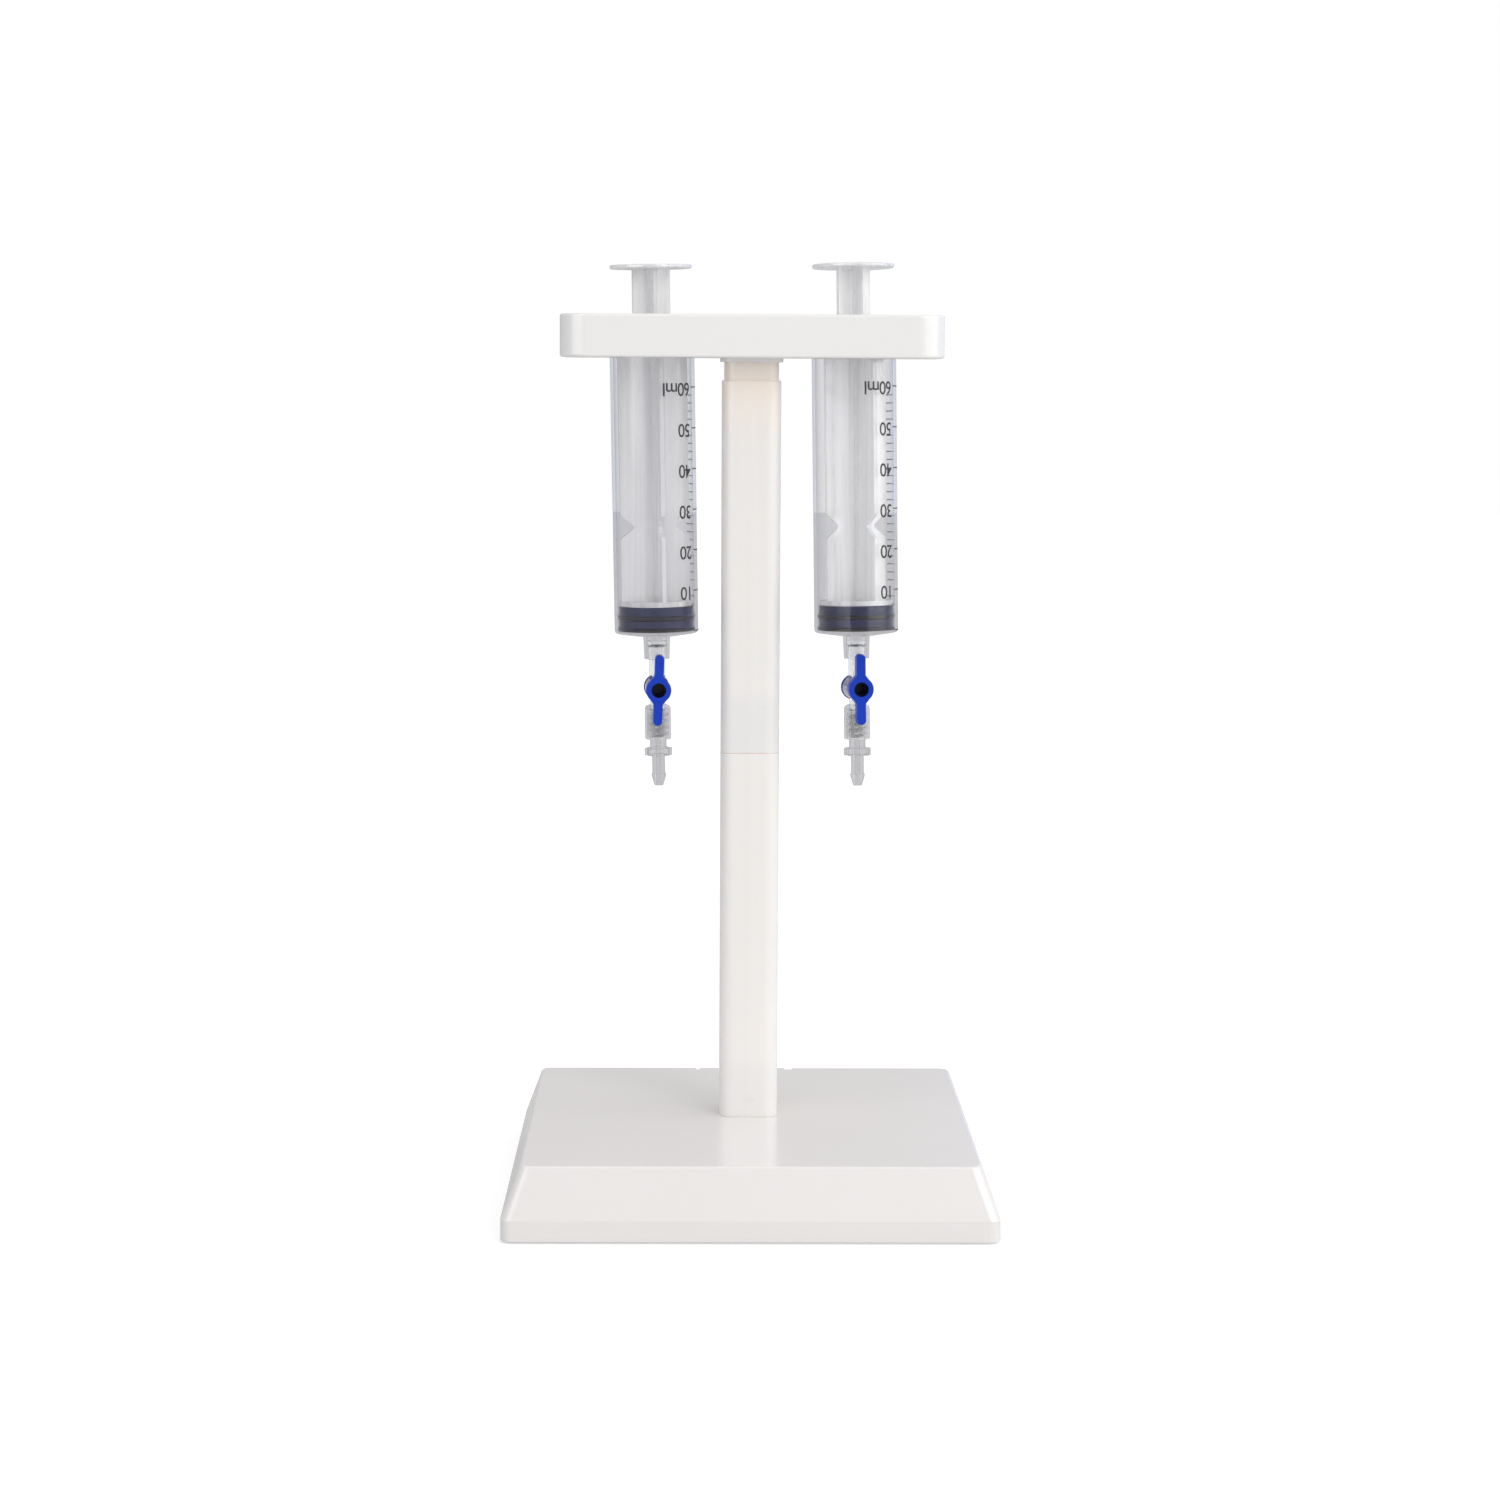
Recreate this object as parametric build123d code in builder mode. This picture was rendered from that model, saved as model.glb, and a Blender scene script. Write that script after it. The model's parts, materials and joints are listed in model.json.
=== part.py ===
"""Two-place stand for 60 ml syringes, each hung nozzle down with a stopcock and a hose barb.

Frame: millimetres, +Z up, origin at the centre of the square base on the surface it stands on.
The front faces -Y.
"""
import os

from build123d import *

os.makedirs("parts", exist_ok=True)

# ---- base ----
base_side = 177.3
base_top_side = 164.0
foot_gap = 0.8
skirt_height = 7.45
base_height = 25.6
base_corner = 4.0
base_wall = 2.2
base_top_wall = 2.4
plate_thickness = 2.2
plate_recess = 0.6
plate_play = 0.4
base_screw_reach = 72.0
foot_reach = 70.0
foot_radius = 7.0
foot_socket_depth = 1.0
ballast_size = 112.0
ballast_thickness = 5.0

# ---- pole ----
pole_y = 5.5
pole_side = 21.93
pole_corner = 5.0
pole_length = 138.4
pole_bore = 18.2
spigot_side = 20.2
spigot_corner = 4.2
spigot_bore = 16.6
spigot_length = 20.0
socket_depth = 20.5
socket_play = 0.06
web_thickness = 3.0
post_height = 20.0
dimple_height = 6.6
dimple_length = 4.2
dimple_width = 1.3
dimple_depth = 0.25
pole_top_edge = 0.6
pole_foot_edge = 0.3
spigot_edge = 0.5

# ---- syringe holder ----
holder_gap = 6.7
holder_length = 140.75
holder_depth = 54.0
holder_height = 15.7
holder_corner = 10.0
holder_wall = 2.4
holder_floor = 2.6
collar_side = 23.3
collar_height = 1.5
cover_thickness = 2.2
cover_play = 0.2
channel_pitch = 74.9
barrel_hole_radius = 16.6
well_round_radius = 18.8
well_length = 48.4
well_width = 28.4
well_corner = 8.0
well_wall = 1.6
cover_screw_reach = 19.0

# ---- syringe: heights are along its own axis, from the underside of the finger flange ----
barrel_radius = 15.7
barrel_bore = 14.55
barrel_end = -105.4
barrel_tip = -114.6
zero_mark = -104.2
flange_length = 46.0
flange_width = 26.0
flange_round_radius = 17.6
flange_corner = 7.0
flange_thickness = 2.0
rib_width = 26.4
rib_neck_width = 14.2
rib_thickness = 1.5
rib_shoulder = 4.0
rib_notch_height = -65.6
rib_notch_depth = 5.4
rib_notch_half = 4.4
thumb_radius = 15.2
thumb_height = 29.6
thumb_thickness = 1.4
seal_radius = 14.48
seal_length = 9.0

# ---- stopcock, lock nut and hose barb, on the same axis ----
key_height = -126.2
key_radius = 3.3
key_fit = 0.06
hub_radius = 4.6
hub_half_length = 5.2
wing_span = 26.4
wing_width = 3.4
handle_hub_radius = 4.7
handle_depth = 4.4
recess_radius = 2.75
nut_top = -132.4
nut_bottom = -145.3
nut_radius = 4.9
barb_tip = -162.8

base_top = foot_gap + base_height
upper_pole_foot = base_top + pole_length
pole_top = upper_pole_foot + pole_length
holder_bottom = pole_top + holder_gap + collar_height
holder_top = holder_bottom + holder_height
seat_height = holder_bottom + holder_floor


def channel_plane(x, lift, lean_back, lean_side, twist):
    """A syringe's own frame: origin under its finger flange, local Z up along its axis."""
    return Plane(Location((x, pole_y, seat_height + lift), (-lean_back, -lean_side, twist)))


# Each syringe hangs loose in its hole, so it leans a little and is turned a little.
channels = {
    "left": {
        "barrel": channel_plane(-channel_pitch / 2 + 0.45, 0.36, 0.0, 1.03, 1.6),
        "plunger": channel_plane(-channel_pitch / 2 + 0.45, 0.36, 0.0, 1.03, 15.0),
        "valve": channel_plane(-channel_pitch / 2 + 0.45, 0.36, 0.0, 1.03, 4.0),
        "handle_turn": -2.9,
    },
    "right": {
        "barrel": channel_plane(channel_pitch / 2 + 0.45, 1.02, 1.6, 0.94, -1.6),
        "plunger": channel_plane(channel_pitch / 2 + 0.45, 1.02, 1.6, 0.94, 33.0),
        "valve": channel_plane(channel_pitch / 2 + 0.45, 1.02, 1.6, 0.94, 8.0),
        "handle_turn": 0.0,
    },
}


def write(piece, name):
    """Label a finished piece and write it as its own file."""
    piece.label = name
    export_step(piece, f"parts/{name}.step")


def turned(frame, angle):
    """The same frame, turned about its own axis."""
    return Plane(frame.location * Location((0, 0, 0), (0, 0, angle)))


def side_plane(frame):
    """The plane through a frame's axis: local X is the radius and local Y the height."""
    return Plane(frame.origin, x_dir=frame.x_dir, z_dir=-frame.y_dir)


def axis_of(frame):
    return Axis(frame.origin, frame.z_dir)


def outline_face(frame, points):
    """A closed outline of (radius, height) points beside a frame's axis."""
    with BuildSketch(side_plane(frame)) as outline:
        with BuildLine():
            Polyline(*points, close=True)
        make_face()
    return outline.sketch


def rounded_square(frame, side, corner):
    with BuildSketch(frame) as square:
        RectangleRounded(side, side, corner)
    return square.sketch


def disc(frame, radius):
    with BuildSketch(frame) as circle:
        Circle(radius)
    return circle.sketch


def flange_outline(frame, length, width, corner, round_radius):
    """A round flange with two straight-sided finger wings, long along the frame's Y."""
    with BuildSketch(frame) as outline:
        RectangleRounded(width, length, corner)
        Circle(round_radius)
    return outline.sketch


# ================= base =================
pole_frame = Plane((0, pole_y, 0))
skirt_bottom = foot_gap
skirt_top = foot_gap + skirt_height
plate_bottom = skirt_bottom + plate_recess
plate_top = plate_bottom + plate_thickness
ceiling = base_top - base_top_wall
inner_side = base_side - 2 * base_wall
inner_top_side = base_top_side - 2 * base_wall - 1.0
inner_corner = 2.0
post_bore_corner = 2.4
top_edge_radius = 1.0
post_edge_radius = 0.6
pole_screw_hole = 2.05
boss_radius = 4.4
boss_bore = 1.55
boss_bore_depth = 12.0
web_length = 52.0
web_width = 1.8
web_depth = 10.0
web_centre = 0.56
screw_spots = [(base_screw_reach, 0), (-base_screw_reach, 0), (0, base_screw_reach), (0, -base_screw_reach)]
notches = [(-19.1, 0.9), (17.4, 1.6)]

with BuildPart() as base_cover:
    extrude(rounded_square(Plane.XY.offset(skirt_bottom), base_side, base_corner), skirt_height)
    with BuildSketch(Plane.XY.offset(skirt_top)):
        RectangleRounded(base_side, base_side, base_corner)
    with BuildSketch(Plane.XY.offset(base_top)):
        RectangleRounded(base_top_side, base_top_side, base_corner)
    loft()
    fillet(base_cover.faces().sort_by(Axis.Z)[-1].edges(), top_edge_radius)
    # hollow inside
    hollow_foot = rounded_square(Plane.XY.offset(skirt_bottom), inner_side, inner_corner)
    extrude(hollow_foot, skirt_height, mode=Mode.SUBTRACT)
    with BuildSketch(Plane.XY.offset(skirt_top)):
        RectangleRounded(inner_side, inner_side, inner_corner)
    with BuildSketch(Plane.XY.offset(ceiling)):
        RectangleRounded(inner_top_side, inner_top_side, inner_corner)
    loft(mode=Mode.SUBTRACT)
    # hollow post that the pole plugs onto, with a floor for the pole screw
    extrude(rounded_square(pole_frame.offset(base_top), spigot_side, spigot_corner), post_height)
    post_hollow = rounded_square(pole_frame.offset(ceiling), spigot_bore, post_bore_corner)
    extrude(post_hollow, post_height, mode=Mode.SUBTRACT)
    fillet(base_cover.faces().sort_by(Axis.Z)[-1].outer_wire().edges(), post_edge_radius)
    post_floor = pole_frame.offset(base_top + post_height - base_top_wall)
    extrude(disc(post_floor, pole_screw_hole), 2 * base_top_wall, mode=Mode.SUBTRACT)
    # screw bosses
    for spot in screw_spots:
        boss = Plane((*spot, plate_top))
        extrude(disc(boss, boss_radius), ceiling - plate_top + 1)
        extrude(disc(boss, boss_bore), boss_bore_depth, mode=Mode.SUBTRACT)
    # stiffening webs from the post to the bosses
    for spot in screw_spots:
        with BuildSketch(Plane.XY.offset(ceiling - web_depth)):
            with Locations((spot[0] * web_centre, spot[1] * web_centre)):
                Rectangle(web_length if spot[0] else web_width, web_length if spot[1] else web_width)
        extrude(amount=web_depth + 0.5)
    # small half-round notches in the rear top edge
    for x, radius in notches:
        notch = Plane((x, base_top_side / 2 - 3, base_top), z_dir=(0, 1, 0))
        extrude(disc(notch, radius), 6, mode=Mode.SUBTRACT)
write(base_cover.part, "base_cover")

plate_side = inner_side - 2 * plate_play
plate_corner = 1.8
screw_hole = 1.7
head_pocket_radius = 3.2
head_pocket_depth = 1.2

with BuildPart() as base_plate:
    extrude(rounded_square(Plane.XY.offset(plate_bottom), plate_side, plate_corner), plate_thickness)
    for spot in screw_spots:
        hole = Plane((*spot, plate_bottom))
        extrude(disc(hole, screw_hole), plate_thickness, mode=Mode.SUBTRACT)
        extrude(disc(hole, head_pocket_radius), head_pocket_depth, mode=Mode.SUBTRACT)
    with BuildSketch(Plane.XY.offset(plate_bottom)):
        with GridLocations(2 * foot_reach, 2 * foot_reach, 2, 2):
            Circle(foot_radius + 0.1)
    extrude(amount=foot_socket_depth, mode=Mode.SUBTRACT)
write(base_plate.part, "base_plate")

with BuildPart() as ballast_plate:
    extrude(rounded_square(Plane.XY.offset(plate_top), ballast_size, 3.0), ballast_thickness)
    chamfer(ballast_plate.edges().filter_by(Plane.XY), 0.5)
write(ballast_plate.part, "ballast_plate")

foot_spots = [(x, y) for x in (-foot_reach, foot_reach) for y in (-foot_reach, foot_reach)]
foot_names = ["foot_front_left", "foot_rear_left", "foot_front_right", "foot_rear_right"]
for name, spot in zip(foot_names, foot_spots):
    with BuildPart() as foot:
        extrude(disc(Plane((*spot, 0)), foot_radius), plate_bottom + foot_socket_depth)
        chamfer(foot.edges().sort_by(Axis.Z)[0], 0.4)
    write(foot.part, name)



def cross_screw(seat, shank, length, head, depth, slot, slot_width, slot_depth):
    """Cross-slotted screw: its shank runs along the seat's local Z and its head the other way."""
    with BuildPart() as screw:
        extrude(disc(seat, shank), length)
        extrude(disc(seat, head), -depth)
        with BuildSketch(seat.offset(-depth)):
            Rectangle(slot, slot_width)
            Rectangle(slot_width, slot)
        extrude(amount=slot_depth, mode=Mode.SUBTRACT)
    return screw.part


with BuildPart() as base_screws:
    for spot in screw_spots:
        seat = Plane((*spot, plate_bottom + head_pocket_depth))
        add(cross_screw(seat, 1.5, 8.0, 2.9, 1.1, 4.4, 0.7, 0.7))
write(base_screws.part, "base_screws")


# ================= pole =================
def pole_section(foot_height):
    """Rounded square tube with a socket at its foot and a narrower spigot at its top."""
    foot = pole_frame.offset(foot_height)
    top = foot.offset(pole_length)
    shoulder_depth = 6.0
    bore_corner = 3.6
    with BuildPart() as section:
        extrude(rounded_square(foot, pole_side, pole_corner), pole_length)
        fillet(section.faces().sort_by(Axis.Z)[-1].edges(), pole_top_edge)
        fillet(section.faces().sort_by(Axis.Z)[0].edges(), pole_foot_edge)
        spigot_root = top.offset(-shoulder_depth / 2)
        extrude(rounded_square(spigot_root, spigot_side, spigot_corner), spigot_length + shoulder_depth / 2)
        fillet(section.faces().sort_by(Axis.Z)[-1].edges(), spigot_edge)
        socket = spigot_side + 2 * socket_play
        extrude(rounded_square(foot, socket, spigot_corner + socket_play), socket_depth, mode=Mode.SUBTRACT)
        bore_foot = foot.offset(socket_depth + web_thickness)
        bore_length = pole_length - socket_depth - web_thickness - shoulder_depth
        extrude(rounded_square(bore_foot, pole_bore, bore_corner), bore_length, mode=Mode.SUBTRACT)
        neck_bore = rounded_square(top.offset(-shoulder_depth - 1), spigot_bore, post_bore_corner)
        extrude(neck_bore, spigot_length + shoulder_depth + 2, mode=Mode.SUBTRACT)
        extrude(disc(foot.offset(socket_depth), pole_screw_hole), web_thickness, mode=Mode.SUBTRACT)
    return section.part


with BuildPart() as lower_pole:
    add(pole_section(base_top))
    # shallow oval dimple low on the front face
    front = Plane((0, pole_y - pole_side / 2, base_top + dimple_height), x_dir=(1, 0, 0), z_dir=(0, -1, 0))
    with BuildSketch(front):
        SlotOverall(dimple_length, dimple_width)
    extrude(amount=-dimple_depth, mode=Mode.SUBTRACT)
write(lower_pole.part, "lower_pole")
write(pole_section(upper_pole_foot), "upper_pole")

write(cross_screw(post_floor, 2.0, 7.5, 4.0, 2.6, 5.6, 1.1, 1.6), "pole_screw")

# ================= syringe holder =================
floor_top = holder_bottom + holder_floor
cover_bottom = holder_top - cover_thickness - 0.2
tower_side = collar_side + 1.2
holder_edge = 1.0
cover_boss_radius = 3.6
cover_boss_bore = 1.3
cover_hole = 1.6
cover_pocket_radius = 2.7
cover_pocket_floor = 1.0
boss_spots = [(0, pole_y - cover_screw_reach), (0, pole_y + cover_screw_reach)]
well_spots = [(-channel_pitch / 2, pole_y), (channel_pitch / 2, pole_y)]


def holder_outline(height, inset):
    with BuildSketch(pole_frame.offset(height)) as outline:
        width = holder_length - 2 * inset
        depth = holder_depth - 2 * inset
        RectangleRounded(width, depth, holder_corner - inset)
    return outline.sketch


def well(spot, height, extra):
    """Outline of the pocket that takes one syringe's finger flange, grown by extra."""
    return flange_outline(
        Plane((*spot, height)),
        well_length + 2 * extra,
        well_width + 2 * extra,
        well_corner + extra,
        well_round_radius + extra,
    )


with BuildPart() as holder_body:
    extrude(holder_outline(holder_bottom, 0), holder_height)
    fillet(holder_body.faces().filter_by(Axis.Z).edges(), holder_edge)
    extrude(holder_outline(floor_top, holder_wall), holder_height, mode=Mode.SUBTRACT)
    wall_height = cover_bottom - floor_top
    for spot in well_spots:
        extrude(well(spot, floor_top - 0.2, well_wall), wall_height + 0.2)
    extrude(rounded_square(pole_frame.offset(floor_top - 0.2), tower_side, pole_corner), wall_height + 0.2)
    for spot in boss_spots:
        extrude(disc(Plane((*spot, floor_top - 0.2)), cover_boss_radius), wall_height + 0.2)
    collar_root = pole_frame.offset(holder_bottom + 0.5)
    extrude(rounded_square(collar_root, collar_side, pole_corner), -collar_height - 0.5)
    # what is cut through them
    for spot in well_spots:
        extrude(well(spot, floor_top, 0), holder_height, mode=Mode.SUBTRACT)
        extrude(disc(Plane((*spot, holder_bottom)), barrel_hole_radius), holder_height, mode=Mode.SUBTRACT)
    socket_mouth = pole_frame.offset(holder_bottom - collar_height)
    socket = spigot_side + 2 * socket_play
    socket_height = pole_top + spigot_length + 0.1 - socket_mouth.origin.Z
    extrude(
        rounded_square(socket_mouth, socket, spigot_corner + socket_play),
        socket_height,
        mode=Mode.SUBTRACT,
    )
    for spot in boss_spots:
        extrude(disc(Plane((*spot, floor_top)), cover_boss_bore), wall_height, mode=Mode.SUBTRACT)
write(holder_body.part, "holder_body")

with BuildPart() as holder_cover:
    extrude(holder_outline(cover_bottom, holder_wall + cover_play), cover_thickness)
    for spot in well_spots:
        extrude(well(spot, cover_bottom, 0), cover_thickness, mode=Mode.SUBTRACT)
    for spot in boss_spots:
        hole = Plane((*spot, cover_bottom))
        extrude(disc(hole, cover_hole), cover_thickness, mode=Mode.SUBTRACT)
        pocket = hole.offset(cover_pocket_floor)
        extrude(disc(pocket, cover_pocket_radius), cover_thickness, mode=Mode.SUBTRACT)
write(holder_cover.part, "holder_cover")

with BuildPart() as cover_screws:
    for spot in boss_spots:
        seat = Plane((*spot, cover_bottom + cover_pocket_floor), z_dir=(0, 0, -1))
        add(cross_screw(seat, 1.25, 6.5, 2.4, 1.1, 3.4, 0.6, 0.7))
write(cover_screws.part, "cover_screws")


# ================= syringe =================
def barrel_part(frame):
    """Graduated tube with a finger flange, a dished end, a luer tip and a locking collar."""
    collar_top = barrel_end - 1.4
    with BuildPart() as barrel:
        wall = [
            (barrel_bore + 0.35, 0),
            (barrel_radius, 0),
            (barrel_radius, barrel_end + 1.2),
            (barrel_radius - 0.35, barrel_end + 0.35),
            (barrel_radius - 1.2, barrel_end),
            (5.0, collar_top),
            (4.75, barrel_tip - 0.4),
            (3.95, barrel_tip - 0.4),
            (3.95, collar_top + 0.2),
            (2.15, collar_top + 0.2),
            (1.95, barrel_tip),
            (1.1, barrel_tip),
            (1.1, barrel_end - 0.1),
            (barrel_bore, barrel_end + 0.9),
            (barrel_bore, -0.4),
        ]
        revolve(outline_face(frame, wall), axis=axis_of(frame))
        extrude(
            flange_outline(frame, flange_length, flange_width, flange_corner, flange_round_radius),
            flange_thickness,
        )
        fillet(barrel.faces().sort_by(axis_of(frame))[-1].outer_wire().edges(), 0.5)
        extrude(disc(frame.offset(-0.1), barrel_bore + 0.35), flange_thickness + 1, mode=Mode.SUBTRACT)
    return barrel.part


def plunger_part(frame):
    """Cross-ribbed rod with a thumb plate above and a head that holds the seal below."""
    head_top = zero_mark + seal_length + 2.0
    head_bottom = zero_mark + 2.6
    rib_height = rib_shoulder - head_top
    half_width = rib_width / 2
    with BuildPart() as plunger:
        extrude(disc(frame.offset(head_top - 1.8), 13.6), 1.8)
        extrude(disc(frame.offset(head_bottom), 6.0), head_top - head_bottom)
        blade = [
            (0, head_top - 0.5),
            (half_width, head_top - 0.5),
            (half_width, rib_notch_height - rib_notch_half),
            (half_width - rib_notch_depth + 0.4, rib_notch_height - 0.5),
            (half_width - rib_notch_depth + 0.4, rib_notch_height + 0.5),
            (half_width, rib_notch_height + rib_notch_half),
            (half_width, rib_shoulder - 6),
            (rib_neck_width / 2, rib_shoulder + 4),
            (rib_neck_width / 2, thumb_height + 0.3),
            (0, thumb_height + 0.3),
        ]
        for turn in range(4):
            blade_frame = turned(frame, 90 * turn)
            extrude(outline_face(blade_frame, blade), rib_thickness / 2, both=True)
        plate = [
            (0, thumb_height),
            (thumb_radius - 0.4, thumb_height),
            (thumb_radius, thumb_height + 0.4),
            (thumb_radius, thumb_height + thumb_thickness - 0.4),
            (thumb_radius - 0.4, thumb_height + thumb_thickness),
            (0, thumb_height + thumb_thickness),
        ]
        revolve(outline_face(frame, plate), axis=axis_of(frame))
    return plunger.part


def seal_part(frame):
    """Rubber piston with two sealing lips, a cone below and a socket for the plunger's head."""
    top = zero_mark + seal_length
    body = seal_radius - 0.55
    outline = [
        (6.05, top),
        (body, top),
        (body, zero_mark + 6.0),
        (seal_radius, zero_mark + 5.5),
        (seal_radius, zero_mark + 4.5),
        (body, zero_mark + 4.0),
        (body, zero_mark + 1.4),
        (seal_radius, zero_mark + 0.9),
        (seal_radius, zero_mark),
        (body, zero_mark - 0.15),
        (2.0, barrel_end + 0.3),
        (0, barrel_end + 0.3),
        (0, zero_mark + 2.5),
        (6.05, zero_mark + 2.5),
    ]
    with BuildPart() as seal:
        revolve(outline_face(frame, outline), axis=axis_of(frame))
    return seal.part


# ================= stopcock and outlet =================
def key_frame(valve):
    """Frame on the key's axis: local Z points out through the handle."""
    centre = valve.offset(key_height).origin
    return Plane(centre, x_dir=valve.x_dir, z_dir=-valve.y_dir)


def is_hub_rim(edge):
    return edge.geom_type == GeomType.CIRCLE and abs(edge.radius - hub_radius) < 0.01


def stopcock_part(valve):
    """Clear body: female luer inlet above, a hub across it and a male luer outlet below."""
    hub = key_frame(valve)
    with BuildPart() as body:
        column = [
            (1.0, barrel_tip + 6.2),
            (3.6, barrel_tip + 6.2),
            (3.6, barrel_tip + 4.6),
            (3.05, barrel_tip + 4.0),
            (3.05, key_height),
            (2.8, key_height),
            (2.8, nut_top - 1.5),
            (3.15, nut_top - 1.7),
            (3.15, nut_top - 2.1),
            (2.2, nut_top - 2.5),
            (1.95, nut_bottom + 1.6),
            (1.0, nut_bottom + 1.6),
        ]
        revolve(outline_face(valve, column), axis=axis_of(valve))
        extrude(disc(hub, hub_radius), hub_half_length, both=True)
        hub_rims = body.edges().filter_by(is_hub_rim)
        fillet(hub_rims, 0.4)
        inlet_bore = [
            (0, key_height),
            (1.2, key_height),
            (1.2, barrel_tip - 0.8),
            (2.35, barrel_tip - 0.8),
            (2.45, barrel_tip + 6.4),
            (0, barrel_tip + 6.4),
        ]
        revolve(outline_face(valve, inlet_bore), axis=axis_of(valve), mode=Mode.SUBTRACT)
        extrude(disc(valve.offset(key_height), 1.2), nut_bottom - key_height, mode=Mode.SUBTRACT)
        extrude(disc(hub, key_radius + key_fit), hub_half_length + 1, both=True, mode=Mode.SUBTRACT)
    return body.part


def handle_part(valve, turn):
    """Blue key: a plug through the hub and a two-winged handle in front, with a blind recess."""
    key = turned(key_frame(valve), turn)
    face = key.offset(hub_half_length + 0.25)
    with BuildPart() as handle:
        extrude(disc(key.offset(-hub_half_length - 0.9), key_radius), 2 * hub_half_length + 1.4)
        with BuildSketch(face):
            Circle(handle_hub_radius)
            SlotOverall(wing_span, wing_width, rotation=90)
            Polygon((0, 7.6), (4.1, 2.2), (4.1, -2.2), (0, -7.6), (-4.1, -2.2), (-4.1, 2.2))
        extrude(amount=handle_depth)
        fillet(handle.faces().sort_by(Axis(face.origin, face.z_dir))[-1].edges(), 0.45)
        recess = face.offset(handle_depth)
        extrude(disc(recess, recess_radius), -(handle_depth + 0.2), mode=Mode.SUBTRACT)
        extrude(disc(recess, recess_radius - 0.5), -(handle_depth + 3.4), mode=Mode.SUBTRACT)
        # flow passage across the plug
        with BuildSketch(Plane(key.origin, x_dir=key.x_dir, z_dir=key.y_dir)):
            Circle(1.1)
        extrude(amount=key_radius + 1, both=True, mode=Mode.SUBTRACT)
    return handle.part


def key_cap_part(valve):
    """Disc that holds the key in its hub from behind."""
    back = key_frame(valve).offset(-hub_half_length - 0.2)
    with BuildPart() as cap:
        extrude(disc(back, 4.8), -1.9)
        fillet(cap.faces().sort_by(Axis(back.origin, back.z_dir))[0].edges(), 0.5)
        extrude(disc(back, key_radius + 0.02), -0.75, mode=Mode.SUBTRACT)
    return cap.part


def lock_nut_part(valve):
    """Turning collar, closed above round the outlet's neck and open below."""
    outline = [
        (2.88, nut_top),
        (nut_radius - 1.3, nut_top),
        (nut_radius - 0.4, nut_top - 0.4),
        (nut_radius, nut_top - 1.4),
        (nut_radius, nut_bottom + 0.3),
        (nut_radius - 0.3, nut_bottom),
        (4.05, nut_bottom),
        (4.05, nut_top - 1.4),
        (2.88, nut_top - 1.4),
    ]
    with BuildPart() as nut:
        revolve(outline_face(valve, outline), axis=axis_of(valve))
        grips = PolarLocations(nut_radius + 0.25, 12)
        with BuildSketch(valve.offset(nut_bottom)):
            with grips:
                Circle(0.5)
        extrude(amount=8.5, mode=Mode.SUBTRACT)
    return nut.part


def hose_barb_part(valve):
    """Female luer end with two lugs, a scalloped grip ring and a barbed tail."""
    ring_top = -148.6
    ring_height = 2.9
    barb_back = -158.3
    barb_land = 1.0
    with BuildPart() as barb:
        outline = [
            (2.4, nut_top - 2.8),
            (3.1, nut_top - 2.8),
            (3.1, ring_top),
            (4.3, ring_top - 0.3),
            (4.3, ring_top - ring_height + 0.3),
            (2.4, ring_top - ring_height),
            (2.4, barb_back),
            (2.7, barb_back - 0.05),
            (2.7, barb_back - barb_land),
            (1.65, barb_tip),
            (1.0, barb_tip),
            (1.0, nut_bottom + 0.8),
            (2.3, nut_bottom + 0.8),
        ]
        revolve(outline_face(valve, outline), axis=axis_of(valve))
        with BuildSketch(valve.offset(ring_top - 0.1)):
            with PolarLocations(4.05, 8):
                Circle(1.1)
        extrude(amount=-ring_height + 0.2)
        with BuildSketch(valve.offset(nut_top - 2.8)):
            Rectangle(7.4, 2.2)
        extrude(amount=-1.3)
        extrude(disc(valve.offset(nut_top - 2), 2.4), nut_bottom + 0.8 - nut_top + 2, mode=Mode.SUBTRACT)
    return barb.part


for side, channel in channels.items():
    write(barrel_part(channel["barrel"]), f"{side}_barrel")
    write(plunger_part(channel["plunger"]), f"{side}_plunger")
    write(seal_part(channel["barrel"]), f"{side}_seal")
    write(stopcock_part(channel["valve"]), f"{side}_stopcock_body")
    write(handle_part(channel["valve"], channel["handle_turn"]), f"{side}_stopcock_handle")
    write(key_cap_part(channel["valve"]), f"{side}_key_cap")
    write(lock_nut_part(channel["valve"]), f"{side}_lock_nut")
    write(hose_barb_part(channel["valve"]), f"{side}_hose_barb")
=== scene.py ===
import json
import math

import bmesh
import bpy
from mathutils import Matrix, Vector


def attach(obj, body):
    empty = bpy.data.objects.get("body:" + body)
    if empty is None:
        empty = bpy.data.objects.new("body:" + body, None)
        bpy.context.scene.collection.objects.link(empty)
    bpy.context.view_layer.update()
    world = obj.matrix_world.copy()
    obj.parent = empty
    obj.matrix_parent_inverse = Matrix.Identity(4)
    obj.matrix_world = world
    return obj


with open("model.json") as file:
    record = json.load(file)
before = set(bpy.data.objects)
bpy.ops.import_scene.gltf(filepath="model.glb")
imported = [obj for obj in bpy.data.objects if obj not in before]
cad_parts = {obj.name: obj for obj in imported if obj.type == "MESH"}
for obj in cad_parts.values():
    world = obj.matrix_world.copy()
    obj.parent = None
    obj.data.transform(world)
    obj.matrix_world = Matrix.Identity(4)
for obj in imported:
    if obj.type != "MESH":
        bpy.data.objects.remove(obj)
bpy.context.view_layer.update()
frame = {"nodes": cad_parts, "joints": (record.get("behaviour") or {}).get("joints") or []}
nodes = frame["nodes"]
joints = {joint["name"]: joint for joint in frame["joints"]}

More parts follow.
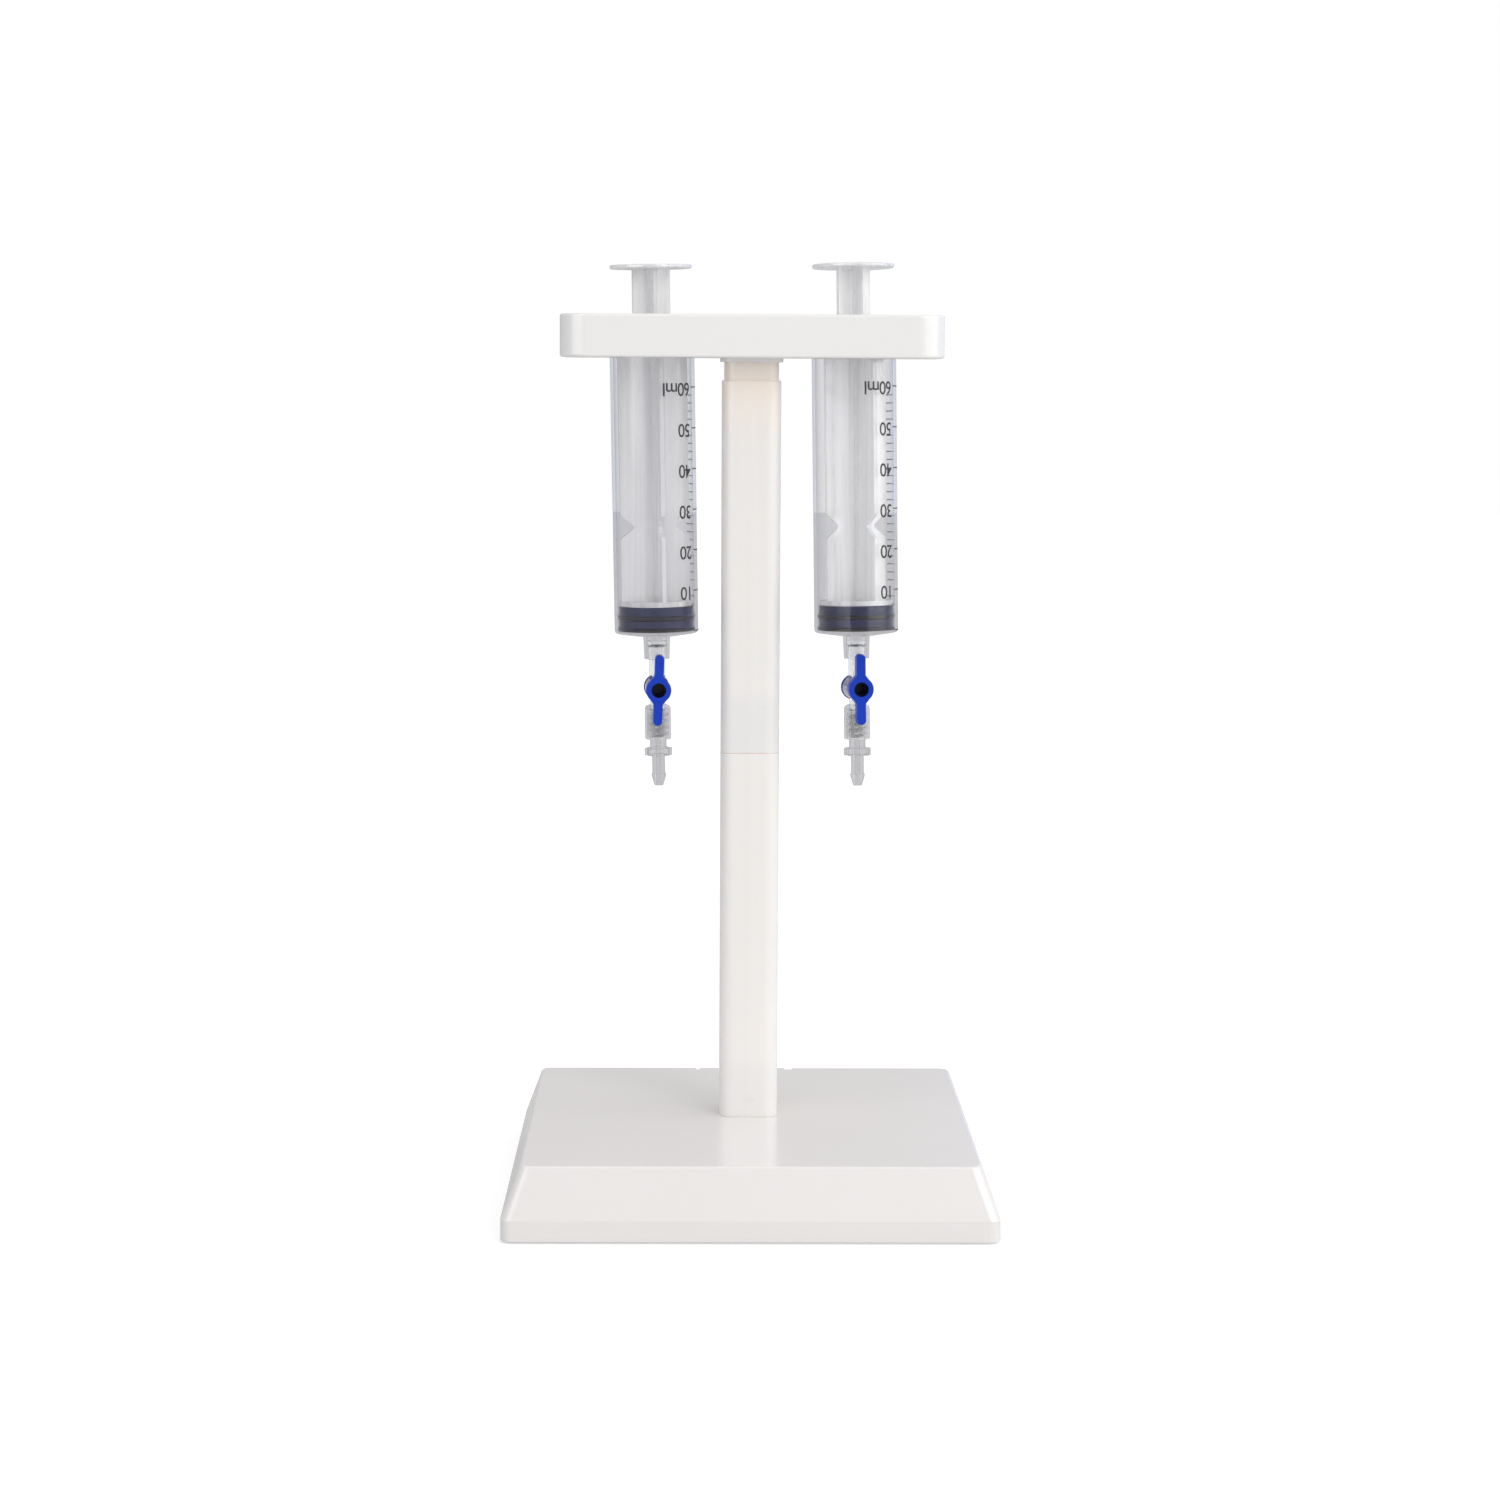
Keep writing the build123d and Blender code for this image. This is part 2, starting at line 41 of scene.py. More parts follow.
# ---------------------------------------------------------------------------
# Moulded white plastic of the base and the holder
# ABS from a polished mould: almost flat, with a faint flow mottle, a very fine
# skin and a little dust where it faces up.
# ---------------------------------------------------------------------------
moulded_skin = bpy.data.node_groups.new("moulded_skin", "ShaderNodeTree")
for name, start in (("Grain Scale", 900.0), ("Mottle Scale", 14.0)):
    socket = moulded_skin.interface.new_socket(name, in_out="INPUT", socket_type="NodeSocketFloat")
    socket.default_value = start
for name in ("Mottle", "Height", "Dust"):
    moulded_skin.interface.new_socket(name, in_out="OUTPUT", socket_type="NodeSocketFloat")
build = moulded_skin.nodes
wire = moulded_skin.links.new
given = build.new("NodeGroupInput")
result = build.new("NodeGroupOutput")
place = build.new("ShaderNodeTexCoord")
mottle = build.new("ShaderNodeTexNoise")
mottle.inputs["Detail"].default_value = 4.0
wire(place.outputs["Object"], mottle.inputs["Vector"])
wire(given.outputs["Mottle Scale"], mottle.inputs["Scale"])
grain = build.new("ShaderNodeTexNoise")
grain.inputs["Detail"].default_value = 2.0
wire(place.outputs["Object"], grain.inputs["Vector"])
wire(given.outputs["Grain Scale"], grain.inputs["Scale"])
height = build.new("ShaderNodeMath")
height.operation = "MULTIPLY_ADD"
height.inputs[1].default_value = 0.25
wire(grain.outputs["Fac"], height.inputs[0])
wire(mottle.outputs["Fac"], height.inputs[2])
facing = build.new("ShaderNodeNewGeometry")
split = build.new("ShaderNodeSeparateXYZ")
wire(facing.outputs["Normal"], split.inputs["Vector"])
specks = build.new("ShaderNodeTexNoise")
specks.inputs["Scale"].default_value = 320.0
specks.inputs["Detail"].default_value = 5.0
wire(place.outputs["Object"], specks.inputs["Vector"])
sparse = build.new("ShaderNodeMapRange")
sparse.inputs["From Min"].default_value = 0.62
sparse.inputs["From Max"].default_value = 0.8
wire(specks.outputs["Fac"], sparse.inputs["Value"])
lying = build.new("ShaderNodeMath")
lying.operation = "MULTIPLY"
lying.use_clamp = True
wire(split.outputs["Z"], lying.inputs[0])
wire(sparse.outputs["Result"], lying.inputs[1])
wire(mottle.outputs["Fac"], result.inputs["Mottle"])
wire(height.outputs["Value"], result.inputs["Height"])
wire(lying.outputs["Value"], result.inputs["Dust"])


def plastic(name, deep, pale, roughness, bump, grain_scale=900.0, mottle_scale=14.0, dust=0.25):
    """Opaque moulded plastic: colour drifts between deep and pale, and dust dulls its upper faces."""
    material = bpy.data.materials.new(name)
    material.use_nodes = True
    tree = material.node_tree
    shader = tree.nodes["Principled BSDF"]
    skin = tree.nodes.new("ShaderNodeGroup")
    skin.node_tree = moulded_skin
    skin.inputs["Grain Scale"].default_value = grain_scale
    skin.inputs["Mottle Scale"].default_value = mottle_scale
    drift = tree.nodes.new("ShaderNodeMix")
    drift.data_type = "RGBA"
    drift.inputs["A"].default_value = (*deep, 1.0)
    drift.inputs["B"].default_value = (*pale, 1.0)
    tree.links.new(skin.outputs["Mottle"], drift.inputs["Factor"])
    tree.links.new(drift.outputs["Result"], shader.inputs["Base Color"])
    dulled = tree.nodes.new("ShaderNodeMapRange")
    dulled.inputs["To Min"].default_value = roughness
    dulled.inputs["To Max"].default_value = roughness + dust
    tree.links.new(skin.outputs["Dust"], dulled.inputs["Value"])
    tree.links.new(dulled.outputs["Result"], shader.inputs["Roughness"])
    relief = tree.nodes.new("ShaderNodeBump")
    relief.inputs["Strength"].default_value = bump
    relief.inputs["Distance"].default_value = 0.0002
    tree.links.new(skin.outputs["Height"], relief.inputs["Height"])
    tree.links.new(relief.outputs["Normal"], shader.inputs["Normal"])
    return material, shader


def finish(node, material):
    """Give a CAD node its material."""
    for index in range(len(nodes[node].material_slots)):
        nodes[node].material_slots[index].material = material


white_tones = {
    "base_cover": ((0.850, 0.822, 0.810), (0.890, 0.862, 0.850)),
    "holder_body": ((0.865, 0.860, 0.845), (0.905, 0.900, 0.885)),
}
for node, (deep, pale) in white_tones.items():
    white_abs, shader = plastic(f"white_{node}", deep, pale, 0.22, 0.1, dust=0.04)
    shader.inputs["IOR"].default_value = 1.53
    shader.inputs["Coat Weight"].default_value = 0.15
    shader.inputs["Coat Roughness"].default_value = 0.1
    finish(node, white_abs)

# ---------------------------------------------------------------------------
# Underside of the base: closing plate, ballast, feet and screws
# Satin ABS plate over a steel weight, on four black rubber feet.
# ---------------------------------------------------------------------------
satin_deep, satin_pale = (0.77, 0.77, 0.755), (0.83, 0.83, 0.815)
satin_abs, shader = plastic("white_abs_satin", satin_deep, satin_pale, 0.42, 0.35, 1400.0)
shader.inputs["IOR"].default_value = 1.53
finish("base_plate", satin_abs)
finish("holder_cover", satin_abs)

soot, worn_soot = (0.015, 0.015, 0.016), (0.035, 0.035, 0.036)
foot_rubber, _ = plastic("foot_rubber", soot, worn_soot, 0.7, 0.5, 1100.0)
for node in ("foot_front_left", "foot_rear_left", "foot_front_right", "foot_rear_right"):
    finish(node, foot_rubber)

mill_grey, mill_pale = (0.33, 0.33, 0.34), (0.46, 0.46, 0.47)
ballast_steel, shader = plastic("ballast_steel", mill_grey, mill_pale, 0.4, 0.4, 500.0, 40.0)
shader.inputs["Metallic"].default_value = 1.0
finish("ballast_plate", ballast_steel)

zinc_grey, zinc_pale = (0.50, 0.50, 0.51), (0.62, 0.62, 0.63)
screw_steel, shader = plastic("screw_steel", zinc_grey, zinc_pale, 0.28, 0.2, 1800.0, 200.0)
shader.inputs["Metallic"].default_value = 1.0
for node in ("base_screws", "cover_screws", "pole_screw"):
    finish(node, screw_steel)

# ---------------------------------------------------------------------------
# Pole sections
# Thin warm-white ABS tubes that let a little light through. The bare spigots are thinner again; they
# and the top of the upper section under the holder turn a bright warm pink, partly the thinner
# plastic's own tint and partly a painted warm glow for light through the wall in the holder's shade.
# ---------------------------------------------------------------------------
# Heights of the painted warm glow on each section: a sharp step at the lower spigot, and a ramp up the
# top of the upper section where the holder's shade falls.
warm_glow_levels = {"lower_pole": (0.1640, 0.1645), "upper_pole": (0.2750, 0.3034)}


def pole_plastic(node):
    """Warm white that drifts in long upright streaks, with a painted warm glow lifting the thin spigot
    and the section top under the holder.
    """
    material, shader = plastic(f"{node}_abs", (0.88, 0.845, 0.815), (0.94, 0.905, 0.875), 0.25, 0.1)
    tree = material.node_tree
    place = tree.nodes.new("ShaderNodeTexCoord")
    stretch = tree.nodes.new("ShaderNodeMapping")
    stretch.inputs["Scale"].default_value = (220.0, 220.0, 5.0)
    streak = tree.nodes.new("ShaderNodeTexNoise")
    streak.inputs["Scale"].default_value = 1.0
    streak.inputs["Detail"].default_value = 3.0
    tree.links.new(place.outputs["Object"], stretch.inputs["Vector"])
    tree.links.new(stretch.outputs["Vector"], streak.inputs["Vector"])
    drift = shader.inputs["Base Color"].links[0].from_node
    tree.links.new(streak.outputs["Fac"], drift.inputs["Factor"])
    level = tree.nodes.new("ShaderNodeSeparateXYZ")
    tree.links.new(place.outputs["Object"], level.inputs["Vector"])
    # Painted warm glow: from these heights up, the colour is lifted to a bright pink that stands in
    # for light through the thin wall in the holder's shade.
    thin = tree.nodes.new("ShaderNodeMapRange")
    thin.interpolation_type = "SMOOTHSTEP"
    thin.inputs["From Min"].default_value = warm_glow_levels[node][0]
    thin.inputs["From Max"].default_value = warm_glow_levels[node][1]
    tree.links.new(level.outputs["Z"], thin.inputs["Value"])
    warm_glow = tree.nodes.new("ShaderNodeMix")
    warm_glow.data_type = "RGBA"
    warm_glow.inputs["B"].default_value = (1.0, 0.885, 0.80, 1.0)
    tree.links.new(thin.outputs["Result"], warm_glow.inputs["Factor"])
    tree.links.new(drift.outputs["Result"], warm_glow.inputs["A"])
    tree.links.new(warm_glow.outputs["Result"], shader.inputs["Base Color"])
    shader.inputs["IOR"].default_value = 1.53
    shader.inputs["Subsurface Weight"].default_value = 0.25
    shader.inputs["Subsurface Radius"].default_value = (1.0, 0.7, 0.5)
    shader.inputs["Subsurface Scale"].default_value = 0.003
    return material


for node in ("lower_pole", "upper_pole"):
    finish(node, pole_plastic(node))


# ---------------------------------------------------------------------------
# Syringe barrels
# Polypropylene tubes with dish ends and luer collars. The walls are clear face
# on and close up towards the sides.
# ---------------------------------------------------------------------------
def thin_wall(name, tone, see, rim, roughness, shine, bump=0.05):
    """Natural polypropylene with drawn-out flow lines, clear face on and closing at its rims."""
    deep = [value * 0.93 for value in tone]
    material, shader = plastic(name, deep, tone, roughness, bump, 260.0, 30.0, 0.0)
    tree = material.node_tree
    place = tree.nodes.new("ShaderNodeTexCoord")
    stretch = tree.nodes.new("ShaderNodeMapping")
    stretch.inputs["Scale"].default_value = (190.0, 190.0, 3.0)
    flow = tree.nodes.new("ShaderNodeTexNoise")
    flow.inputs["Scale"].default_value = 1.0
    flow.inputs["Detail"].default_value = 2.0
    tree.links.new(place.outputs["Object"], stretch.inputs["Vector"])
    tree.links.new(stretch.outputs["Vector"], flow.inputs["Vector"])
    clear = tree.nodes.new("ShaderNodeMapRange")
    clear.inputs["From Min"].default_value = 0.3
    clear.inputs["From Max"].default_value = 0.7
    clear.inputs["To Min"].default_value = see * 0.6
    clear.inputs["To Max"].default_value = see * 1.4
    tree.links.new(flow.outputs["Fac"], clear.inputs["Value"])
    shader.inputs["Coat Weight"].default_value = 1.0
    shader.inputs["Coat IOR"].default_value = shine
    shader.inputs["Coat Roughness"].default_value = 0.07
    edge_on = tree.nodes.new("ShaderNodeLayerWeight")
    edge_on.inputs["Blend"].default_value = 0.5
    steep = tree.nodes.new("ShaderNodeMath")
    steep.operation = "POWER"
    steep.inputs[1].default_value = 3.0
    cover = tree.nodes.new("ShaderNodeMapRange")
    cover.inputs["To Max"].default_value = rim
    tree.links.new(edge_on.outputs["Facing"], steep.inputs[0])
    tree.links.new(steep.outputs["Value"], cover.inputs["Value"])
    tree.links.new(clear.outputs["Result"], cover.inputs["To Min"])
    tree.links.new(cover.outputs["Result"], shader.inputs["Alpha"])
    return material


# The left copy is darker and bluer than the right: painted shade on the left barrel, as both barrels
# are the same plastic.
barrel_clear = {
    "left": thin_wall("barrel_clear_left_painted_shade", (0.33, 0.335, 0.43), 0.045, 0.6, 0.16, 4.0),
    "right": thin_wall("barrel_clear_right", (0.40, 0.40, 0.44), 0.045, 0.6, 0.16, 4.0),
}
for side in ("left", "right"):
    finish(f"{side}_barrel", barrel_clear[side])

# ---------------------------------------------------------------------------
# Volume scale
# Ink printed round each barrel: a mark every 2 ml from 0 to 60, numbers every
# 10 ml that read upright when the nozzle points up.
# ---------------------------------------------------------------------------
scale_zero = -0.1042
millilitre = 0.0015036
print_radius = 0.01574
tick_thickness = 0.00042
tick_ends = {"ten": 96.0, "two": 129.0}
tick_starts = {"ten": 63.0, "two": 111.0}
digit_height = 0.0050
digit_em = 1.38
digit_shift = (0.0012, -0.0015, 0)
digit_lead = 1.0
key_level = -0.1262
scale_turns = {"left": 2.6, "right": -0.6}


def syringe_place(side, turn=0.0):
    """Matrix from a syringe's own frame, origin under its finger flange, to the row frame."""
    key = joints[f"{side}_stopcock_turn"]
    up = Vector(joints[f"{side}_plunger_slide"]["axis"]).normalized()
    origin = Vector(key["pos_m"]) - up * key_level
    across = Vector((0, 1, 0)).cross(up).normalized()
    back = up.cross(across)
    axes = Matrix((across, back, up)).transposed().to_4x4()
    return Matrix.Translation(origin) @ axes @ Matrix.Rotation(math.radians(turn), 4, "Z")


def wrap_round(mesh_points, level, start_angle):
    """Bend flat print, x along the reading line, round the barrel and turn it nozzle up."""
    for point in mesh_points:
        angle = math.radians(start_angle) - point.co.x / print_radius
        radius = print_radius + point.co.z
        high = level - point.co.y
        point.co = Vector((radius * math.sin(angle), -radius * math.cos(angle), high))


def scale_ink(name, deep, worn):
    """Printed ink, patchy where the pad left less of it."""
    material = bpy.data.materials.new(name)
    material.use_nodes = True
    tree = material.node_tree
    shader = tree.nodes["Principled BSDF"]
    coords = tree.nodes.new("ShaderNodeTexCoord")
    patchy = tree.nodes.new("ShaderNodeTexNoise")
    patchy.inputs["Scale"].default_value = 900.0
    shade = tree.nodes.new("ShaderNodeMix")
    shade.data_type = "RGBA"
    shade.inputs["A"].default_value = (*deep, 1.0)
    shade.inputs["B"].default_value = (*worn, 1.0)
    tree.links.new(coords.outputs["Object"], patchy.inputs["Vector"])
    tree.links.new(patchy.outputs["Fac"], shade.inputs["Factor"])
    tree.links.new(shade.outputs["Result"], shader.inputs["Base Color"])
    shader.inputs["Roughness"].default_value = 0.5
    return material


heavy_ink = scale_ink("heavy_ink", (0.012, 0.013, 0.018), (0.035, 0.037, 0.045))
light_ink = scale_ink("light_ink", (0.16, 0.18, 0.26), (0.24, 0.26, 0.34))

for side in ("left", "right"):
    place = syringe_place(side, scale_turns[side])
    print_mesh = bmesh.new()
    for volume in range(0, 61, 2):
        kind = "two" if volume % 10 else "ten"
        start = tick_starts[kind]
        length = math.radians(tick_ends[kind] - start) * print_radius
        strip = bmesh.ops.create_grid(print_mesh, x_segments=14, y_segments=1, size=0.5)["verts"]
        bmesh.ops.scale(print_mesh, vec=(length, tick_thickness, 1), verts=strip)
        bmesh.ops.translate(print_mesh, vec=(-length / 2, 0, 0), verts=strip)
        wrap_round(strip, scale_zero + volume * millilitre, start)
        if kind == "two":
            for face in {face for vert in strip for face in vert.link_faces}:
                face.material_index = 1
    for volume in range(10, 61, 10):
        letters = bpy.data.curves.new("digits", "FONT")
        letters.body = "60ml" if volume == 60 else str(volume)
        letters.size = digit_height * digit_em
        letters.space_character = 0.92
        letters.offset = 0.00005
        flat = bpy.data.objects.new("digits", letters)
        bpy.context.collection.objects.link(flat)
        bpy.context.view_layer.update()
        shape = bpy.data.meshes.new_from_object(flat)
        before = set(print_mesh.verts)
        print_mesh.from_mesh(shape)
        digits = [vert for vert in print_mesh.verts if vert not in before]
        bmesh.ops.translate(print_mesh, vec=digit_shift, verts=digits)
        wrap_round(digits, scale_zero + volume * millilitre, tick_starts["ten"] - digit_lead)
        bpy.data.objects.remove(flat)
        bpy.data.meshes.remove(shape)
    print_mesh.transform(place)
    solid_mesh = bpy.data.meshes.new(f"{side}_volume_scale")
    print_mesh.to_mesh(solid_mesh)
    print_mesh.free()
    volume_scale = bpy.data.objects.new(f"{side}_volume_scale", solid_mesh)
    bpy.context.collection.objects.link(volume_scale)
    solid_mesh.materials.append(heavy_ink)
    solid_mesh.materials.append(light_ink)
    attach(volume_scale, f"{side}_syringe")

# ---------------------------------------------------------------------------
# Plungers and seals
# Natural polypropylene rods with four ribs, and navy-black rubber pistons.
# ---------------------------------------------------------------------------
plunger_milky = thin_wall("plunger_milky", (0.97, 0.97, 0.98), 0.62, 0.8, 0.22, 1.8, 0.1)
lip_radius = 0.0142


def around_axis(tree, place):
    """Distance from an axis and height along it, for the frame given by a matrix."""
    coords = tree.nodes.new("ShaderNodeTexCoord")
    centred = tree.nodes.new("ShaderNodeMapping")
    centred.vector_type = "TEXTURE"
    centred.inputs["Location"].default_value = place.translation
    centred.inputs["Rotation"].default_value = place.to_euler("XYZ")
    tree.links.new(coords.outputs["Object"], centred.inputs["Vector"])
    flat = tree.nodes.new("ShaderNodeVectorMath")
    flat.operation = "MULTIPLY"
    flat.inputs[1].default_value = (1, 1, 0)
    tree.links.new(centred.outputs["Vector"], flat.inputs[0])
    reach = tree.nodes.new("ShaderNodeVectorMath")
    reach.operation = "LENGTH"
    tree.links.new(flat.outputs["Vector"], reach.inputs[0])
    height = tree.nodes.new("ShaderNodeSeparateXYZ")
    tree.links.new(centred.outputs["Vector"], height.inputs["Vector"])
    return reach.outputs["Value"], height.outputs["Z"]


def darkened(tree, shader, mask, colour):
    """Turn the base colour to a darker one where the mask is 1."""
    blend = tree.nodes.new("ShaderNodeMix")
    blend.data_type = "RGBA"
    blend.inputs["B"].default_value = (*colour, 1.0)
    tree.links.new(mask, blend.inputs["Factor"])
    tree.links.new(shader.inputs["Base Color"].links[0].from_socket, blend.inputs["A"])
    tree.links.new(blend.outputs["Result"], shader.inputs["Base Color"])


def seal_rubber(side):
    """Navy-black rubber, blacker on the lips that press against the wall."""
    deep, pale = (0.004, 0.006, 0.045), (0.010, 0.014, 0.070)
    material, shader = plastic(f"{side}_seal_rubber", deep, pale, 0.3, 0.1, 700.0)
    reach, _ = around_axis(material.node_tree, syringe_place(side))
    lip = material.node_tree.nodes.new("ShaderNodeMapRange")
    lip.inputs["From Min"].default_value = lip_radius - 0.0001
    lip.inputs["From Max"].default_value = lip_radius
    material.node_tree.links.new(reach, lip.inputs["Value"])
    darkened(material.node_tree, shader, lip.outputs["Result"], (0.001, 0.001, 0.002))
    shader.inputs["Specular IOR Level"].default_value = 0.4
    return material


for side in ("left", "right"):
    finish(f"{side}_plunger", plunger_milky)
    finish(f"{side}_seal", seal_rubber(side))

# ---------------------------------------------------------------------------
# Stopcocks, lock nuts and hose barbs
# Clear polycarbonate valves with a turning blue key held by a cap behind. The
# nuts and barbs under them have thinner, cloudier walls; the barbs' dark grey rims are painted shade
# for the dark edges that bent light gives them.
# ---------------------------------------------------------------------------
recess_radius = 0.00275
handle_face = 0.00985


def clear_plastic(name, tint, roughness, ior, haze, bump):
    """See-through moulded plastic with a faint haze, which bends what lies behind it."""
    material = bpy.data.materials.new(name)
    material.use_nodes = True
    tree = material.node_tree
    shader = tree.nodes["Principled BSDF"]
    shader.inputs["IOR"].default_value = ior
    shader.inputs["Transmission Weight"].default_value = 1.0 - haze
    shader.inputs["Specular IOR Level"].default_value = 0.3
    skin = tree.nodes.new("ShaderNodeGroup")
    skin.node_tree = moulded_skin
    skin.inputs["Grain Scale"].default_value = 260.0
    skin.inputs["Mottle Scale"].default_value = 30.0
    drift = tree.nodes.new("ShaderNodeMix")
    drift.data_type = "RGBA"
    drift.inputs["A"].default_value = (*[value * 0.97 for value in tint], 1.0)
    drift.inputs["B"].default_value = (*tint, 1.0)
    tree.links.new(skin.outputs["Mottle"], drift.inputs["Factor"])
    tree.links.new(drift.outputs["Result"], shader.inputs["Base Color"])
    cloudy = tree.nodes.new("ShaderNodeMapRange")
    cloudy.inputs["To Min"].default_value = roughness
    cloudy.inputs["To Max"].default_value = roughness + 0.06
    tree.links.new(skin.outputs["Mottle"], cloudy.inputs["Value"])
    tree.links.new(cloudy.outputs["Result"], shader.inputs["Roughness"])
    relief = tree.nodes.new("ShaderNodeBump")
    relief.inputs["Strength"].default_value = bump
    relief.inputs["Distance"].default_value = 0.0001
    tree.links.new(skin.outputs["Height"], relief.inputs["Height"])
    tree.links.new(relief.outputs["Normal"], shader.inputs["Normal"])
    return material


valve_clear = clear_plastic("valve_clear", (0.95, 0.96, 0.97), 0.05, 1.58, 0.03, 0.2)
nut_clear = thin_wall("nut_clear", (0.80, 0.80, 0.81), 0.18, 0.70, 0.12, 3.5, 0.3)
# Painted shade: the barbs' dark grey tone, near opaque at the rims, stands in for the dark edges that
# bent light gives a clear barb.
barb_clear_painted_edges = thin_wall("barb_clear_painted_edges", (0.20, 0.20, 0.21), 0.12, 0.95, 0.10, 4.0, 0.2)


def handle_blue(side):
    """Opaque royal blue nylon, with painted shade turning it almost black down inside the handle's
    blind recess.
    """
    dark_blue, royal = (0.0, 0.028, 0.40), (0.0, 0.050, 0.58)
    material, shader = plastic(f"{side}_handle_blue", dark_blue, royal, 0.3, 0.15, 800.0, 60.0, 0.1)
    key = joints[f"{side}_stopcock_turn"]
    out = Vector(key["axis"]).normalized()
    place = Matrix.Translation(Vector(key["pos_m"])) @ out.to_track_quat("Z", "Y").to_matrix().to_4x4()
    reach, height = around_axis(material.node_tree, place)
    # Painted shade: the blue is darkened to near black inside the recess, more so the deeper it goes.
    inside = material.node_tree.nodes.new("ShaderNodeMath")
    inside.operation = "LESS_THAN"
    inside.inputs[1].default_value = recess_radius + 0.00002
    material.node_tree.links.new(reach, inside.inputs[0])
    deep = material.node_tree.nodes.new("ShaderNodeMapRange")
    deep.inputs["From Min"].default_value = handle_face - 0.0002
    deep.inputs["From Max"].default_value = handle_face - 0.0012
    material.node_tree.links.new(height, deep.inputs["Value"])
    mask = material.node_tree.nodes.new("ShaderNodeMath")
    mask.operation = "MULTIPLY"
    material.node_tree.links.new(inside.outputs["Value"], mask.inputs[0])
    material.node_tree.links.new(deep.outputs["Result"], mask.inputs[1])
    darkened(material.node_tree, shader, mask.outputs["Value"], (0.0, 0.002, 0.03))
    shader.inputs["Specular IOR Level"].default_value = 0.3
    return material


for side in ("left", "right"):
    finish(f"{side}_stopcock_body", valve_clear)
    finish(f"{side}_lock_nut", nut_clear)
    finish(f"{side}_hose_barb", barb_clear_painted_edges)
    finish(f"{side}_stopcock_handle", handle_blue(side))
    finish(f"{side}_key_cap", handle_blue(side))

# ---------------------------------------------------------------------------
# Luer lock threads
# Two-start ridges moulded inside each lock nut. They turn with their nut and
# show faintly through its walls.
# ---------------------------------------------------------------------------
thread_lead = 0.005
thread_radius = 0.00405
thread_top = -0.1358
thread_bottom = -0.1450
thread_foot = 0.0001
thread_rise = 0.00014
thread_half_width = 0.0007
thread_turns = (thread_top - thread_bottom) / thread_lead
thread_steps = int(40 * thread_turns)

for side in ("left", "right"):
    thread_mesh = bmesh.new()
    for start in range(2):
        corners = [
            (thread_radius + thread_foot, thread_half_width),
            (thread_radius - thread_rise, 0.0),
            (thread_radius + thread_foot, -thread_half_width),
        ]
        profile = [thread_mesh.verts.new((x, 0.0, thread_top + z)) for x, z in corners]
        loop = [thread_mesh.edges.new((profile[i - 1], profile[i])) for i in range(3)]
        bmesh.ops.contextual_create(thread_mesh, geom=loop)
        ridge = bmesh.ops.spin(
            thread_mesh,
            geom=profile + loop,
            cent=(0, 0, 0),
            axis=(0, 0, 1),
            dvec=(0, 0, -thread_lead * thread_turns / thread_steps),
            angle=2 * math.pi * thread_turns,
            steps=thread_steps,
        )
        last = [piece for piece in ridge["geom_last"] if isinstance(piece, bmesh.types.BMEdge)]
        bmesh.ops.contextual_create(thread_mesh, geom=last)
        half_turn = Matrix.Rotation(math.pi, 3, "Z")
        bmesh.ops.rotate(thread_mesh, matrix=half_turn, verts=thread_mesh.verts)
    bmesh.ops.recalc_face_normals(thread_mesh, faces=thread_mesh.faces)
    thread_mesh.transform(syringe_place(side))
    shape = bpy.data.meshes.new(f"{side}_nut_thread")
    thread_mesh.to_mesh(shape)
    thread_mesh.free()
    nut_thread = bpy.data.objects.new(f"{side}_nut_thread", shape)
    bpy.context.collection.objects.link(nut_thread)
    shape.materials.append(nut_clear)
    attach(nut_thread, f"{side}_lock_nut")

# ---------------------------------------------------------------------------
# Studio: pale sweep, soft light and camera
# An endless white floor and room. Both look darker through thin clear walls,
# and polished plastic mirrors a ring of soft panels, one of them cool.
# ---------------------------------------------------------------------------
sweep_mesh = bmesh.new()
bmesh.ops.create_grid(sweep_mesh, x_segments=1, y_segments=1, size=6.0)
floor_mesh = bpy.data.meshes.new("studio_floor")
sweep_mesh.to_mesh(floor_mesh)
sweep_mesh.free()
floor = bpy.data.objects.new("studio_floor", floor_mesh)
bpy.context.collection.objects.link(floor)
pale = bpy.data.materials.new("pale_floor")
pale.use_nodes = True
paper = pale.node_tree.nodes["Principled BSDF"]
paper.inputs["Roughness"].default_value = 0.9
paper.inputs["Emission Color"].default_value = (1, 1, 1, 1)


def seen_through_plastic(tree):
    """Masks for a plain look, a look through a thin wall, and light bent by thick clear plastic."""
    path = tree.nodes.new("ShaderNodeLightPath")
    behind = tree.nodes.new("ShaderNodeMath")
    behind.operation = "MINIMUM"
    behind.inputs[1].default_value = 1.0
    tree.links.new(path.outputs["Transparent Depth"], behind.inputs[0])
    direct = tree.nodes.new("ShaderNodeMath")
    direct.operation = "SUBTRACT"
    direct.use_clamp = True
    tree.links.new(path.outputs["Is Camera Ray"], direct.inputs[0])
    tree.links.new(behind.outputs["Value"], direct.inputs[1])
    return direct.outputs["Value"], behind.outputs["Value"], path.outputs["Is Transmission Ray"]


